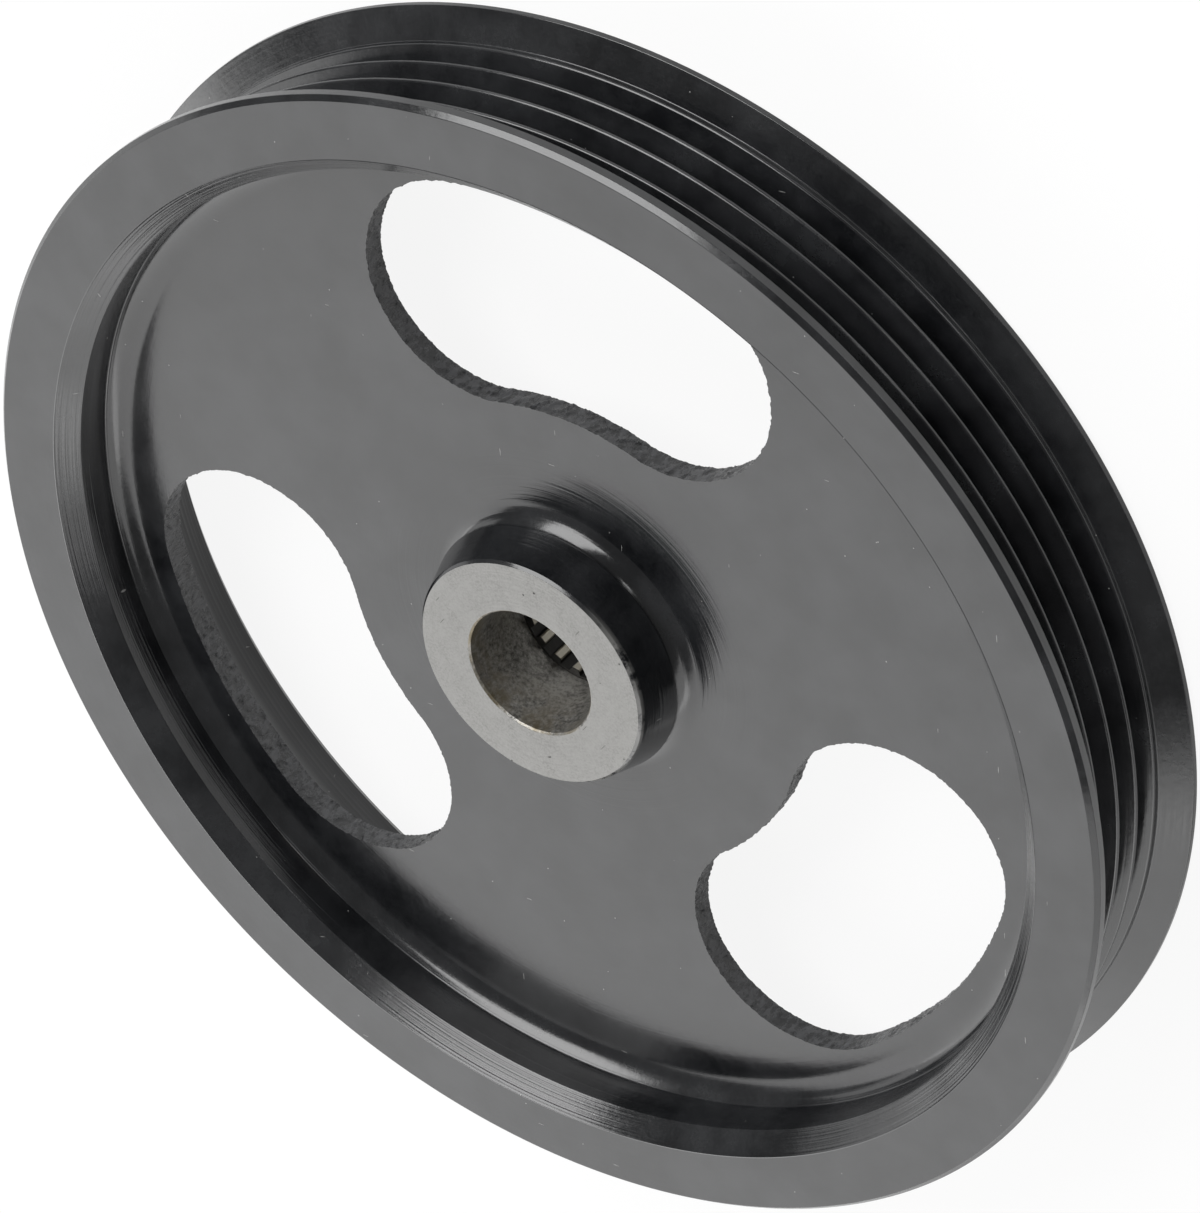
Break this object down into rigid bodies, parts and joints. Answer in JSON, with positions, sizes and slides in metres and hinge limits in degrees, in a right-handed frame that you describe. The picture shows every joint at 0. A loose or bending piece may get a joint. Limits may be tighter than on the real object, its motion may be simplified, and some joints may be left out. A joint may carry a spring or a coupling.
{
  "type": "power steering pump pulley",
  "caption": "Ribbed belt pulley in black-coated steel with a dished web, kidney windows and a bare hub that is bored and serrated for a power steering pump shaft.",
  "frame": {"origin": "on the pulley's axis, in the plane of the rim's rear face", "axes": "+Z along the axis from the rear face towards the hub's nut face; +Y through the middle of one window"},
  "size_m": [0.134, 0.134, 0.0197],
  "materials": {
    "black_coated_steel": "thin glossy black coat over turned steel; the hub's nut face and the bore are bare steel"
  },
  "bodies": {
    "root": {"pulley": "black_coated_steel"}
  },
  "joints": []
}
